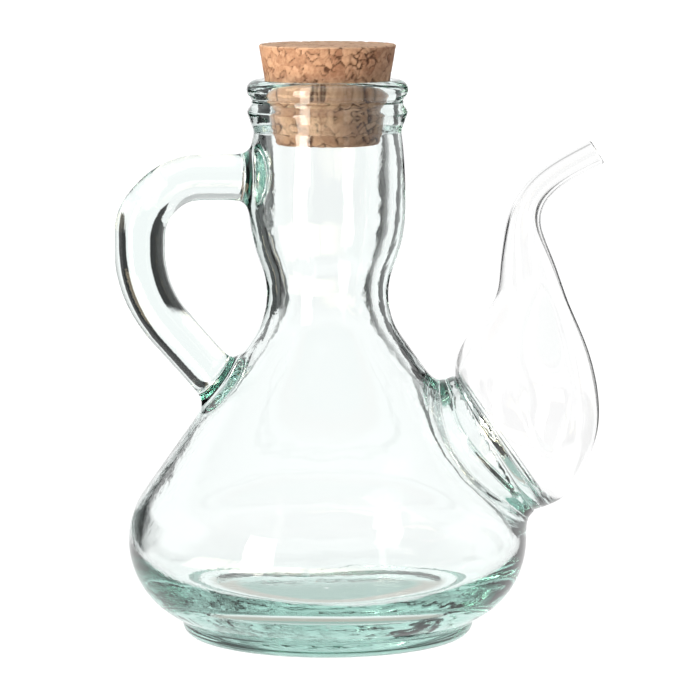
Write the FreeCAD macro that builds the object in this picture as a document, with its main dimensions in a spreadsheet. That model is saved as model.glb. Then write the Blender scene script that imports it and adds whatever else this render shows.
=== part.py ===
import FreeCAD, Part

import math
import os

import Sketcher
from FreeCAD import Placement, Rotation, Vector

# Hand-blown glass oil bottle with a loop handle, a clear glass spout and a tapered cork.
# Millimetres. The origin is on the bottle's axis in the plane that the foot stands on,
# +Z is up, +X points to the spout and -X to the handle.

SIZES = [
    # alias, value, meaning
    ("wall", 3.9, "glass thickness of neck, shoulder and belly"),
    ("foot_round", 4.2, "radius of the rounded foot ring"),
    ("foot_centre", 39.0, "axis to the middle of the foot ring"),
    ("foot_flat", 3.0, "width of the flat ring that the foot stands on"),
    ("base_rise", 2.5, "how far the underside rises in the middle"),
    ("base_thick", 6.0, "glass thickness of the base at the axis"),
    ("belly_centre", 34.0, "axis to the centre of the belly's arc"),
    ("belly_height", 28.5, "height of the belly's arc centre"),
    ("belly_round", 25.0, "radius of the belly's arc"),
    ("waist_radius", 17.9, "outer radius of the waist under the neck"),
    ("waist_height", 101.5, "height of the waist"),
    ("waist_round", 21.8, "radius of the waist's hollow arc"),
    ("bulge_radius", 23.1, "outer radius of the neck's bulge"),
    ("bulge_height", 127.0, "height of the neck's bulge"),
    ("neck_radius", 21.6, "outer radius of the neck under the lip"),
    ("neck_height", 149.5, "height where the neck meets the lower lip ring"),
    ("collar_radius", 23.7, "outer radius of the lower lip ring's edge"),
    ("collar_height", 155.2, "height of the lower lip ring's edge"),
    ("hollow_radius", 22.3, "radius of the hollow between the lip rings"),
    ("hollow_height", 157.2, "height of the bottom of that hollow"),
    ("lip_round", 2.9, "radius of the rounded upper lip ring"),
    ("lip_radius", 23.8, "outer radius of the upper lip ring"),
    ("lip_height", 164.5, "height of the mouth"),
    ("mouth_round", 0.8, "rounding of the mouth's inner edge"),
    ("edge_round", 0.5, "rounding of the lower lip ring's edge"),
    ("throat_height", 156.1, "height of the bottom of the cork's seat"),
    ("bore_radius", 17.9, "inner radius of the neck under the cork's seat"),
    ("bore_height", 148.0, "height where the bore starts to narrow to that seat"),
    ("cork_top_radius", 20.2, "radius of the cork's top face"),
    ("cork_low_radius", 15.03, "radius of the cork's bottom face"),
    ("cork_top", 175.0, "height of the cork's top face"),
    ("cork_low", 144.0, "height of the cork's bottom face"),
    ("cork_round", 0.9, "rounding of the cork's rims"),
    ("handle_thick", 14.2, "diameter of the handle's glass rod"),
    ("handle_height", 136.0, "height of the handle's upper run"),
    ("handle_root", 19.5, "axis to the upper end of the rod"),
    ("handle_reach", 55.4, "axis to the rod's upright run"),
    ("handle_bend", 18.0, "radius of the handle's upper bend"),
    ("handle_sweep", 35.0, "radius of the handle's lower bend"),
    ("handle_drop", 115.0, "height where the lower bend starts"),
    ("handle_slope", 48.4, "slope of the lower run below level, degrees"),
    ("handle_run", 29.0, "length of the lower run"),
    ("handle_blend", 3.0, "rounding where the rod melts into the bottle"),
    ("port_x", 49.3, "axis to the middle of the spout's collar"),
    ("port_z", 57.1, "height of the middle of the spout's collar"),
    ("port_tilt", 30.5, "slope of the spout's collar axis, degrees"),
    ("port_radius", 23.3, "outer radius of the spout's collar"),
    ("port_depth", 15.0, "length of the collar, mostly sunk in the shoulder"),
    ("port_hole", 18.5, "radius of the hole through the collar"),
    ("port_reach", 30.0, "depth of that hole, into the hollow of the bottle"),
    ("port_blend", 3.5, "rounding where the collar melts into the shoulder"),
    ("spout_wall", 0.9, "glass thickness of the spout"),
    ("overrun", 1.0, "how far a cut starts outside the glass"),
]

# The spout swells from its collar, draws in to a thin tube and turns outward at the tip.
# Each station is a circle on its curved axis: x, height, slope of the axis, outer radius.
SPOUT_STATIONS = [
    (49.3, 57.1, 30.5, 23.0),
    (53.4, 60.6, 38.5, 25.4),
    (57.1, 67.0, 47.0, 25.7),
    (60.1, 74.6, 54.0, 24.3),
    (62.0, 83.6, 59.5, 20.6),
    (62.2, 92.7, 67.0, 15.3),
    (60.7, 100.9, 76.0, 11.0),
    (59.0, 109.9, 87.0, 8.3),
    (57.8, 117.6, 91.0, 6.2),
    (57.9, 123.6, 80.0, 4.9),
    (60.2, 129.7, 61.0, 4.1),
    (64.2, 134.3, 43.0, 3.8),
    (71.3, 139.2, 35.0, 3.7),
    (78.8, 143.1, 31.8, 3.8),
]
STATION_PARTS = ("x", "z", "tilt", "radius")
RING_STEPS = 24

START, END, CENTRE = 1, 2, 3
ORIGIN, ACROSS, UPRIGHT = -1, -1, -2


def add_sheet(doc):
    """Put every driving size into the sheet and return the values by alias."""
    sheet = doc.addObject("Spreadsheet::Sheet", "sizes")
    rows = list(SIZES)
    for number, station in enumerate(SPOUT_STATIONS):
        for part, value in zip(STATION_PARTS, station):
            rows.append((f"station{number}_{part}", value, f"spout station {number}: {part}"))
    for row, (alias, value, meaning) in enumerate(rows, start=1):
        sheet.set(f"A{row}", meaning)
        sheet.set(f"B{row}", str(value))
        sheet.setAlias(f"B{row}", alias)
    doc.recompute()
    return {alias: value for alias, value, _ in rows}


def add_body(doc, name):
    body = doc.addObject("PartDesign::Body", name)
    body.Label = name
    return body


def add_sketch(body, name, plane_role):
    """Make a sketch on one of the body's own origin planes."""
    sketch = body.newObject("Sketcher::SketchObject", name)
    plane = [item for item in body.Origin.OriginFeatures if item.Role == plane_role][0]
    sketch.AttachmentSupport = [(plane, "")]
    sketch.MapMode = "FlatFace"
    return sketch


def bind(item, setting, alias):
    item.setExpression(setting, f"sizes.{alias}")


def constrain(sketch, kind, *places, rule):
    """Add one dimension to the sketch and bind it to a rule on the sheet."""
    number = sketch.addConstraint(Sketcher.Constraint(kind, *places))
    sketch.setExpression(f"Constraints[{number}]", rule)


def place_point(sketch, item, end, across, up, across_rule, up_rule):
    """Dimension a point from the sketch's origin; a rule of None keeps it on an axis."""
    if across_rule is None:
        sketch.addConstraint(Sketcher.Constraint("PointOnObject", item, end, UPRIGHT))
    else:
        constrain(sketch, "DistanceX", ORIGIN, START, item, end, across, rule=across_rule)
    if up_rule is not None:
        constrain(sketch, "DistanceY", ORIGIN, START, item, end, up, rule=up_rule)


def add_line(sketch, begin, finish):
    item = sketch.addGeometry(Part.LineSegment(Vector(*begin, 0), Vector(*finish, 0)))
    return item, START, END


def add_arc(sketch, centre, radius, begin, finish):
    """Draw an arc from one angle to another, in degrees, either way round its centre."""
    circle = Part.Circle(Vector(*centre, 0), Vector(0, 0, 1), radius)
    low, high = sorted((math.radians(begin), math.radians(finish)))
    item = sketch.addGeometry(Part.ArcOfCircle(circle, low, high))
    return (item, START, END) if finish > begin else (item, END, START)


def join(sketch, before, after, smooth=False):
    """Make one edge follow another, end to start, tangent where the join is smooth."""
    kind = "Tangent" if smooth else "Coincident"
    sketch.addConstraint(Sketcher.Constraint(kind, before[0], before[2], after[0], after[1]))


def join_ring(sketch, edges, smooth_joins):
    for number, edge in enumerate(edges):
        join(sketch, edges[number - 1], edge, smooth=number in smooth_joins)


def revolve(body, name, sketch, kind="PartDesign::Revolution", axis="V_Axis"):
    feature = body.newObject(kind, name)
    feature.Profile = sketch
    feature.ReferenceAxis = (sketch, [axis])
    feature.Angle = 360
    sketch.Visibility = False
    return feature


def draw_outer_outline(sketch, size):
    """Half section of the solid bottle, from the underside up to the mouth."""
    lip_centre = (size["lip_radius"] - size["lip_round"], size["lip_height"] - size["lip_round"])
    belly_centre = (size["belly_centre"], size["belly_height"])
    waist_centre = (size["waist_radius"] + size["waist_round"], size["waist_height"])
    bulge_point = (size["bulge_radius"], size["bulge_height"])
    neck_point = (size["neck_radius"], size["neck_height"])
    collar_point = (size["collar_radius"], size["collar_height"])
    hollow_point = (size["hollow_radius"], size["hollow_height"])
    bulge_round, neck_round = 43, 165

    stand_point = (size["foot_centre"] - size["foot_flat"], 0)
    underside = add_line(sketch, (0, size["base_rise"]), stand_point)
    stand = add_line(sketch, stand_point, (size["foot_centre"], 0))
    foot = add_arc(sketch, (size["foot_centre"], size["foot_round"]), size["foot_round"], -90, 5)
    belly = add_arc(sketch, belly_centre, size["belly_round"], -68, 35)
    shoulder = add_line(sketch, (54, 43), (22, 89))
    waist = add_arc(sketch, waist_centre, size["waist_round"], 215, 157)
    bulge = add_arc(sketch, (bulge_point[0] - bulge_round, bulge_point[1]), bulge_round, -23, 0)
    neck = add_arc(sketch, (bulge_point[0] - neck_round, bulge_point[1]), neck_round, 0, 8)
    flare = add_line(sketch, neck_point, collar_point)
    edge = add_line(sketch, collar_point, hollow_point)
    hollow = add_line(sketch, hollow_point, (hollow_point[0], hollow_point[1] + 2))
    lip = add_arc(sketch, lip_centre, size["lip_round"], -60, 90)
    top = add_line(sketch, (lip_centre[0], size["lip_height"]), (0, size["lip_height"]))
    axis = add_line(sketch, (0, size["lip_height"]), (0, size["base_rise"]))
    edges = [underside, stand, foot, belly, shoulder, waist, bulge, neck, flare, edge, hollow,
             lip, top, axis]
    smooth = {edges.index(item) for item in (foot, shoulder, waist, bulge, neck, top)}
    join_ring(sketch, edges, smooth)

    place_point(sketch, underside[0], START, 0, size["base_rise"], None, "sizes.base_rise")
    place_point(sketch, stand[0], START, *stand_point, "sizes.foot_centre - sizes.foot_flat", None)
    sketch.addConstraint(Sketcher.Constraint("PointOnObject", stand[0], START, ACROSS))
    sketch.addConstraint(Sketcher.Constraint("Horizontal", stand[0]))
    constrain(sketch, "DistanceX", ORIGIN, START, foot[0], CENTRE, size["foot_centre"],
              rule="sizes.foot_centre")
    constrain(sketch, "Radius", foot[0], size["foot_round"], rule="sizes.foot_round")
    place_point(sketch, belly[0], CENTRE, *belly_centre, "sizes.belly_centre", "sizes.belly_height")
    constrain(sketch, "Radius", belly[0], size["belly_round"], rule="sizes.belly_round")
    place_point(sketch, waist[0], CENTRE, *waist_centre,
                "sizes.waist_radius + sizes.waist_round", "sizes.waist_height")
    constrain(sketch, "Radius", waist[0], size["waist_round"], rule="sizes.waist_round")
    place_point(sketch, bulge[0], END, *bulge_point, "sizes.bulge_radius", "sizes.bulge_height")
    constrain(sketch, "DistanceY", ORIGIN, START, bulge[0], CENTRE, bulge_point[1],
              rule="sizes.bulge_height")
    place_point(sketch, neck[0], END, *neck_point, "sizes.neck_radius", "sizes.neck_height")
    place_point(sketch, flare[0], END, *collar_point, "sizes.collar_radius", "sizes.collar_height")
    place_point(sketch, edge[0], END, *hollow_point, "sizes.hollow_radius", "sizes.hollow_height")
    sketch.addConstraint(Sketcher.Constraint("Vertical", hollow[0]))
    place_point(sketch, lip[0], CENTRE, *lip_centre,
                "sizes.lip_radius - sizes.lip_round", "sizes.lip_height - sizes.lip_round")
    constrain(sketch, "Radius", lip[0], size["lip_round"], rule="sizes.lip_round")
    sketch.addConstraint(Sketcher.Constraint("Horizontal", top[0]))
    place_point(sketch, top[0], END, 0, 0, None, None)


def draw_cavity_outline(sketch, size):
    """Half section of the hollow, which follows the outside one glass thickness further in."""
    wall = size["wall"]
    belly_centre = (size["belly_centre"], size["belly_height"])
    waist_centre = (size["waist_radius"] + size["waist_round"], size["waist_height"])
    bulge_point = (size["bulge_radius"] - wall, size["bulge_height"])
    bore_point = (size["bore_radius"], size["bore_height"])
    floor_height = size["base_rise"] + size["base_thick"]
    ceiling = size["lip_height"] + size["overrun"]
    taper = (size["cork_top_radius"] - size["cork_low_radius"]) / (size["cork_top"] - size["cork_low"])
    taper_rule = "(sizes.cork_top_radius - sizes.cork_low_radius) / (sizes.cork_top - sizes.cork_low)"
    throat_point = (size["cork_low_radius"] + taper * (size["throat_height"] - size["cork_low"]),
                    size["throat_height"])
    seat_point = (size["cork_low_radius"] + taper * (ceiling - size["cork_low"]), ceiling)
    bulge_round, neck_round = 39, 165

    floor = add_line(sketch, (0, floor_height), (belly_centre[0], 7.4))
    belly = add_arc(sketch, belly_centre, size["belly_round"] - wall, -92, 35)
    shoulder = add_line(sketch, (51, 41), (19, 87))
    waist = add_arc(sketch, waist_centre, size["waist_round"] + wall, 215, 157)
    bulge = add_arc(sketch, (bulge_point[0] - bulge_round, bulge_point[1]), bulge_round, -23, 0)
    neck = add_arc(sketch, (bulge_point[0] - neck_round, bulge_point[1]), neck_round, 0, 8)
    throat = add_line(sketch, bore_point, throat_point)
    seat = add_line(sketch, throat_point, seat_point)
    top = add_line(sketch, seat_point, (0, ceiling))
    axis = add_line(sketch, (0, ceiling), (0, floor_height))
    edges = [floor, belly, shoulder, waist, bulge, neck, throat, seat, top, axis]
    join_ring(sketch, edges, {edges.index(item) for item in (belly, shoulder, waist, bulge, neck)})

    place_point(sketch, floor[0], START, 0, floor_height, None, "sizes.base_rise + sizes.base_thick")
    place_point(sketch, belly[0], CENTRE, *belly_centre, "sizes.belly_centre", "sizes.belly_height")
    constrain(sketch, "Radius", belly[0], size["belly_round"] - wall,
              rule="sizes.belly_round - sizes.wall")
    place_point(sketch, waist[0], CENTRE, *waist_centre,
                "sizes.waist_radius + sizes.waist_round", "sizes.waist_height")
    constrain(sketch, "Radius", waist[0], size["waist_round"] + wall,
              rule="sizes.waist_round + sizes.wall")
    place_point(sketch, bulge[0], END, *bulge_point,
                "sizes.bulge_radius - sizes.wall", "sizes.bulge_height")
    constrain(sketch, "DistanceY", ORIGIN, START, bulge[0], CENTRE, bulge_point[1],
              rule="sizes.bulge_height")
    place_point(sketch, neck[0], END, *bore_point, "sizes.bore_radius", "sizes.bore_height")
    seat_rule = "sizes.cork_low_radius + {taper} * ({height} - sizes.cork_low)"
    throat_rule = seat_rule.format(taper=taper_rule, height="sizes.throat_height")
    ceiling_rule = "sizes.lip_height + sizes.overrun"
    place_point(sketch, throat[0], END, *throat_point, throat_rule, "sizes.throat_height")
    place_point(sketch, seat[0], END, *seat_point,
                seat_rule.format(taper=taper_rule, height=f"({ceiling_rule})"), ceiling_rule)
    sketch.addConstraint(Sketcher.Constraint("Horizontal", top[0]))
    place_point(sketch, top[0], END, 0, 0, None, None)


def draw_handle_path(sketch, size):
    """Middle line of the handle's rod: out of the neck, round and down to the shoulder."""
    root, reach, height = -size["handle_root"], -size["handle_reach"], size["handle_height"]
    bend, sweep, slope = size["handle_bend"], size["handle_sweep"], size["handle_slope"]
    turn = 270 - slope
    bend_centre = (reach + bend, height - bend)
    sweep_centre = (reach + sweep, size["handle_drop"])
    sweep_end = (sweep_centre[0] + sweep * math.cos(math.radians(turn)),
                 sweep_centre[1] + sweep * math.sin(math.radians(turn)))
    foot = (sweep_end[0] + size["handle_run"] * math.cos(math.radians(slope)),
            sweep_end[1] - size["handle_run"] * math.sin(math.radians(slope)))

    upper = add_line(sketch, (root, height), (bend_centre[0], height))
    corner = add_arc(sketch, bend_centre, bend, 90, 180)
    upright = add_line(sketch, (reach, bend_centre[1]), (reach, size["handle_drop"]))
    curve = add_arc(sketch, sweep_centre, sweep, 180, turn)
    lower = add_line(sketch, sweep_end, foot)
    edges = [upper, corner, upright, curve, lower]
    for before, after in zip(edges, edges[1:]):
        join(sketch, before, after, smooth=True)
    place_point(sketch, upper[0], START, root, height, "-sizes.handle_root", "sizes.handle_height")
    sketch.addConstraint(Sketcher.Constraint("Horizontal", upper[0]))
    constrain(sketch, "Radius", corner[0], bend, rule="sizes.handle_bend")
    place_point(sketch, upright[0], END, reach, size["handle_drop"],
                "-sizes.handle_reach", "sizes.handle_drop")
    sketch.addConstraint(Sketcher.Constraint("Vertical", upright[0]))
    constrain(sketch, "Radius", curve[0], sweep, rule="sizes.handle_sweep")
    constrain(sketch, "Distance", lower[0], size["handle_run"], rule="sizes.handle_run")
    constrain(sketch, "Angle", lower[0], -math.radians(slope), rule="-sizes.handle_slope")


def add_handle(body, size):
    """A round glass rod, drawn along its middle line."""
    path = add_sketch(body, "handle_path", "XZ_Plane")
    draw_handle_path(path, size)
    section = add_sketch(body, "handle_section", "YZ_Plane")
    section.AttachmentOffset = Placement(Vector(0, 0, -size["handle_root"]), Rotation())
    bind(section, "AttachmentOffset.Base.z", "handle_root * -1")
    circle = section.addGeometry(Part.Circle(Vector(0, size["handle_height"], 0), Vector(0, 0, 1),
                                             size["handle_thick"] / 2))
    place_point(section, circle, CENTRE, 0, size["handle_height"], None, "sizes.handle_height")
    constrain(section, "Diameter", circle, size["handle_thick"], rule="sizes.handle_thick")
    body.Document.recompute()
    rod = body.newObject("PartDesign::AdditivePipe", "handle_rod")
    rod.Profile = section
    rod.Spine = (path, [f"Edge{number + 1}" for number in range(path.GeometryCount)])
    rod.Mode = "Frenet"
    path.Visibility = section.Visibility = False
    return rod


def add_port_sketch(body, name, size, depth, radius, overrun):
    """Half section of a round plug on the spout's slanted axis, measured from the collar's face."""
    sketch = add_sketch(body, name, "XZ_Plane")
    sketch.AttachmentOffset = Placement(Vector(size["port_x"], size["port_z"], 0),
                                        Rotation(Vector(0, 0, 1), size["port_tilt"]))
    bind(sketch, "AttachmentOffset.Base.x", "port_x")
    bind(sketch, "AttachmentOffset.Base.y", "port_z")
    bind(sketch, "AttachmentOffset.Rotation.Angle", "port_tilt")
    front = size["overrun"] if overrun else 0
    back, high = -size[depth], size[radius]
    corners = [(back, 0), (front, 0), (front, high), (back, high)]
    sides = [add_line(sketch, before, after)
             for before, after in zip(corners, corners[1:] + corners[:1])]
    join_ring(sketch, sides, set())
    for number, kind in enumerate(("Horizontal", "Vertical", "Horizontal", "Vertical")):
        sketch.addConstraint(Sketcher.Constraint(kind, sides[number][0]))
    place_point(sketch, sides[0][0], START, back, 0, f"-sizes.{depth}", None)
    sketch.addConstraint(Sketcher.Constraint("PointOnObject", sides[0][0], START, ACROSS))
    place_point(sketch, sides[2][0], START, front, high,
                "sizes.overrun" if overrun else None, f"sizes.{radius}")
    return sketch


def joint_edges(shape, low, high):
    """Names of the curved edges that lie wholly between two opposite corners."""
    names = []
    for number, edge in enumerate(shape.Edges, start=1):
        box = edge.BoundBox
        spans = ((box.XMin, box.XMax), (box.YMin, box.YMax), (box.ZMin, box.ZMax))
        inside = all(low[axis] <= span[0] and span[1] <= high[axis] for axis, span in enumerate(spans))
        if inside and edge.Curve.TypeId != "Part::GeomLine":
            names.append(f"Edge{number}")
    return names


def add_fillet(body, name, radius_alias, low, high):
    """Round the curved edges that lie between two corners."""
    body.Document.recompute()
    base = body.Tip
    fillet = body.newObject("PartDesign::Fillet", name)
    fillet.Base = (base, joint_edges(base.Shape, low, high))
    bind(fillet, "Radius", radius_alias)
    body.Document.recompute()
    return fillet


def make_bottle(doc, size):
    """Green glass: the blown bottle with its drawn handle and the collar that takes the spout."""
    body = add_body(doc, "bottle")
    outline = add_sketch(body, "outer_outline", "XZ_Plane")
    draw_outer_outline(outline, size)
    revolve(body, "blank", outline)
    add_handle(body, size)
    collar = add_port_sketch(body, "port_collar_outline", size, "port_depth", "port_radius", False)
    revolve(body, "port_collar", collar, axis="H_Axis")

    half = size["port_radius"] + size["port_blend"]
    add_fillet(body, "port_melt", "port_blend",
               (size["port_x"] - half, -half, size["port_z"] - half),
               (size["port_x"] + size["port_radius"] / 2 - 1, half, size["port_z"] + half))
    half = size["handle_thick"] / 2 + size["handle_blend"]
    add_fillet(body, "handle_top_melt", "handle_blend",
               (-size["bulge_radius"] - 1, -half, size["handle_height"] - half),
               (0, half, size["handle_height"] + half))
    add_fillet(body, "handle_foot_melt", "handle_blend",
               (-size["belly_centre"] - half, -half, size["belly_height"] + size["belly_round"]),
               (0, half, size["handle_drop"] - size["handle_sweep"] + half))
    add_fillet(body, "lower_ring_edge", "edge_round",
               (-size["collar_radius"] - 1, -size["collar_radius"] - 1, size["collar_height"] - 1),
               (size["collar_radius"] + 1, size["collar_radius"] + 1, size["collar_height"] + 1))

    cavity = add_sketch(body, "cavity_outline", "XZ_Plane")
    draw_cavity_outline(cavity, size)
    revolve(body, "cavity", cavity, "PartDesign::Groove")
    hole = add_port_sketch(body, "port_hole_outline", size, "port_reach", "port_hole", True)
    revolve(body, "port_hole", hole, "PartDesign::Groove", axis="H_Axis")
    add_fillet(body, "mouth_edge", "mouth_round",
               (-size["hollow_radius"], -size["hollow_radius"], size["lip_height"] - 1),
               (size["hollow_radius"] - 2, size["hollow_radius"] - 2, size["lip_height"] + 1))
    return body


def station_ring(size, station, inset):
    """Points round one section of the spout, square to its curved axis, inset from its outside."""
    across, height, tilt, radius = (size[f"station{station}_{part}"] for part in STATION_PARTS)
    slope = math.radians(tilt)
    middle = Vector(across, 0, height)
    sideways, back = Vector(math.sin(slope), 0, -math.cos(slope)), Vector(0, 1, 0)
    turns = [2 * math.pi * step / RING_STEPS for step in range(RING_STEPS + 1)]
    return [middle + (sideways * math.cos(turn) + back * math.sin(turn)) * (radius - inset)
            for turn in turns]


def spout_core(size, inset):
    """Solid inside a smooth skin that passes through every station of the spout."""
    surface = Part.BSplineSurface()
    surface.interpolate([station_ring(size, station, inset)
                         for station in range(len(SPOUT_STATIONS))])
    skin = surface.toShape()
    ends = [Part.Face(Part.Wire([edge])) for edge in skin.Edges if edge.isClosed()]
    shell = Part.makeShell([skin, *ends])
    shell.sewShape()
    core = Part.makeSolid(shell)
    if core.Volume < 0:
        core.reverse()
    return core


def make_spout(doc, size):
    """Clear glass: a thin blown bulb that draws in to a curved pouring tube, open at both ends."""
    spout = doc.addObject("Part::Feature", "spout")
    spout.Label = "spout"
    spout.Shape = spout_core(size, 0).cut(spout_core(size, size["spout_wall"]))
    return spout


def make_cork(doc, size):
    """A tapered plug of pressed cork that seats in the mouth."""
    body = add_body(doc, "cork")
    outline = add_sketch(body, "cork_outline", "XZ_Plane")
    low, top = size["cork_low"], size["cork_top"]
    corners = [(0, low), (size["cork_low_radius"], low), (size["cork_top_radius"], top), (0, top)]
    sides = [add_line(outline, before, after)
             for before, after in zip(corners, corners[1:] + corners[:1])]
    join_ring(outline, sides, set())
    place_point(outline, sides[0][0], START, 0, low, None, "sizes.cork_low")
    place_point(outline, sides[1][0], START, *corners[1], "sizes.cork_low_radius", "sizes.cork_low")
    place_point(outline, sides[2][0], START, *corners[2], "sizes.cork_top_radius", "sizes.cork_top")
    place_point(outline, sides[3][0], START, 0, top, None, "sizes.cork_top")
    revolve(body, "plug", outline)
    reach = size["cork_top_radius"] + 1
    add_fillet(body, "rims", "cork_round", (-reach, -reach, low - 1), (reach, reach, top + 1))
    return body


def check(doc, bodies):
    """Stop if any object of the document failed or any body is not one sound solid."""
    for item in doc.Objects:
        if {"Invalid", "Error"} & set(item.State):
            raise RuntimeError(f"{item.Name} did not compute")
    for body in bodies:
        shape = body.Shape
        if shape.isNull() or not shape.isValid() or len(shape.Solids) != 1:
            raise RuntimeError(f"{body.Label} is not one valid solid")
        print(body.Label, "volume", round(shape.Volume), "mm3")


def main():
    doc = FreeCAD.newDocument("oil_bottle")
    size = add_sheet(doc)
    bodies = [make_bottle(doc, size), make_spout(doc, size), make_cork(doc, size)]
    doc.recompute()
    check(doc, bodies)
    os.makedirs("parts", exist_ok=True)
    for body in bodies:
        body.Shape.exportStep(f"parts/{body.Label}.step")


main()
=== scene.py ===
"""Looks of a blown glass oil bottle: a green bottle with a drawn handle, a clear spout, a cork.

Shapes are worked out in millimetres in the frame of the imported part: the bottle's axis is Z,
the foot stands on Z = 0, the spout is towards +X and the handle towards -X.
"""

import math

import bpy
import numpy as np
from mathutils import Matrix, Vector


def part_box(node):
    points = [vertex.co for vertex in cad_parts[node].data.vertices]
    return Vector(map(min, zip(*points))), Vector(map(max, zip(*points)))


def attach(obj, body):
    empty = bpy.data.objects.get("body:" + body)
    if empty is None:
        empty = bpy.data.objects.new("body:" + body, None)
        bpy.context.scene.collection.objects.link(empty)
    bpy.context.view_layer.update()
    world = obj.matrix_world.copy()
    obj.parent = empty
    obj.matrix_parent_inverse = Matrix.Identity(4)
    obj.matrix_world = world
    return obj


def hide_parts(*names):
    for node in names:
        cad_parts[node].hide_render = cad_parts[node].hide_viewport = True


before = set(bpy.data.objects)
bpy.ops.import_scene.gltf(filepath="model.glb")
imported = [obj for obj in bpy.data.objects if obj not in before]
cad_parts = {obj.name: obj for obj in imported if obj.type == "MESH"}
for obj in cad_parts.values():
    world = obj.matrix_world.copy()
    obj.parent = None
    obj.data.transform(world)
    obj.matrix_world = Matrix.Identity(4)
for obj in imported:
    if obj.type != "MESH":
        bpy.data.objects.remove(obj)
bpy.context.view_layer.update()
MM = 0.001


def node_box(node):
    """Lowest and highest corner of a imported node, in millimetres."""
    return [np.array(corner, float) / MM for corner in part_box(node)]


BOTTLE_LOW, BOTTLE_HIGH = node_box("bottle")
CORK_LOW, CORK_HIGH = node_box("cork")

# Bottle, outside: radii, heights and rounds of the turned profile
WALL = 3.9
LIP_HEIGHT = BOTTLE_HIGH[2]
FOOT_ROUND, FOOT_CENTRE, FOOT_FLAT, FOOT_TOP = 4.2, 39.0, 3.0, 5.2
BELLY_CENTRE, BELLY_HEIGHT = 34.0, 28.5
BELLY_ROUND = BOTTLE_HIGH[1] - BELLY_CENTRE
WAIST_RADIUS, WAIST_HEIGHT, WAIST_ROUND = 17.9, 101.5, 21.8
BULGE_RADIUS, BULGE_HEIGHT = 23.1, 127.0
NECK_RADIUS, NECK_HEIGHT = 21.7, 149.5
COLLAR_RADIUS, COLLAR_HEIGHT = 23.75, 155.2
HOLLOW_RADIUS, HOLLOW_HEIGHT = 22.3, 157.3
LIP_RADIUS, LIP_ROUND, LIP_TRIM = 23.8, 2.9, 0.1
# Base: dome under the foot, then the hollow's floor, which is dished and has a low ring
BASE_RISE, FLOOR_HEIGHT, DISH, FLOOR_SQUASH = 4.0, 12.2, 0.8, 1.32
RIDGE_RADIUS, RIDGE, RIDGE_WIDTH = 40.5, 0.25, 1.9
# Extra wall in the neck: how much, at what height, over how far up and down
NECK_EXTRA, NECK_EXTRA_HEIGHT, NECK_EXTRA_REACH = 0.9, 117, 22
# Bore under and round the cork
BORE_RADIUS, BORE_HEIGHT, THROAT_HEIGHT = 17.9, 148.0, 156.1
CORK_TAPER = 1 / 6
CORK_TOP, CORK_FOOT = CORK_HIGH[2], CORK_LOW[2] + 1.4
CORK_RADIUS = 20.2
SEAT_GAP = 0.08
# Handle: its path, then the rod's radius at each height
HANDLE_ROOT, HANDLE_HEIGHT, HANDLE_REACH = 18.0, 136.0, 55.4
HANDLE_BEND, HANDLE_SWEEP, HANDLE_DROP, HANDLE_SLOPE, HANDLE_RUN = 18.0, 35.0, 115.0, 48.4, 27.0
ROD_HEIGHTS = [77, 92, 108, 118, 126, 134]
ROD_RADII = [6.9, 6.95, 7.5, 7.5, 7.35, 6.5]
ROD_RIPPLE = 0.10
# Collar and hole for the spout: a slanted axis through the middle of the collar's face
PORT_X, PORT_Z, PORT_TILT = 49.3, 57.1, math.radians(30.5)
PORT_RADIUS, PORT_HOLE, PORT_DEPTH, HOLE_DEPTH = 23.3, 18.5, 15.0, 30
# How far the glass is rounded where two forms run together, and at its edges
HANDLE_MELT, COLLAR_MELT, HOLE_MELT = 7.0, 7.5, 3.0
COLLAR_EDGE, COLLAR_BACK, FOOT_EDGE, LIP_EDGE = 1.6, 1.0, 1.2, 0.7
FLOOR_EDGE, HOLE_EDGE, WALL_EDGE = 3.0, 2.0, 1.0
# Ripples: height, then seed, number of sines, longest and shortest pitch
SKIN_RIPPLE, SKIN_WAVES = 0.06, (3, 14, 80, 24)
INNER_RIPPLE, INNER_WAVES = 0.08, (11, 16, 80, 26)
FINE_RIPPLE, FINE_WAVES, FINE_ROUNDS = 0.012, (5, 16, 14, 5), 3
FLOOR_RIPPLE = 0.09

# Spout: middle line x and z, lean of each ring's axis above level, outer radius; collar to tip
SPOUT_STATIONS = np.array([
    (49.3, 57.1, 30.5, 23.0), (53.4, 60.6, 38.5, 25.4), (57.1, 67.0, 47.0, 25.7),
    (60.1, 74.6, 54.0, 24.3), (62.0, 83.6, 59.5, 20.6), (62.2, 92.7, 67.0, 15.3),
    (60.7, 100.9, 76.0, 11.0), (59.0, 109.9, 87.0, 8.3), (57.8, 117.6, 91.0, 6.2),
    (57.9, 123.6, 80.0, 4.9), (60.2, 129.7, 61.0, 4.1), (64.2, 134.3, 43.0, 3.8),
    (71.3, 139.2, 35.0, 3.7), (78.8, 143.1, 31.8, 3.8)])
# Its wall where the outer radius is 4, 9 and 20, and where it is melted on
WALL_RADII = [4, 9, 20]
SPOUT_WALL, THROAT_WALL, BULB_WALL = 0.95, 0.7, 0.38
SPOUT_ROOT_WALL, SPOUT_ROOT_REACH, SPOUT_SUNK = 3.4, 2.4, 0.5
SPOUT_RINGS, SPOUT_COLUMNS, SPOUT_EDGE_STEPS = 230, 128, 9

# Cork: rounded rim, innermost rings of foot and top, rows and columns of its grid
CORK_RIM, RIM_STEPS = 0.9, 7
FOOT_HUB, TOP_HUB = 1.0, 0.6
CORK_COLUMNS, FOOT_ROWS, SIDE_ROWS, TOP_ROWS = 352, 26, 84, 44
# Crumbs: seeds scattered in a box, stretched in height, kept near the cork's skin
CRUMB_SEED, CRUMB_COUNT, CRUMB_SPREAD = 21, 4400, np.array([21.5, 21.5, 17.0])
CRUMB_SQUASH = np.array([1.0, 1.0, 1.2])
SKIN_OUTER, SKIN_INNER, CRUMB_BATCHES = -2, 4, 24

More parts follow.
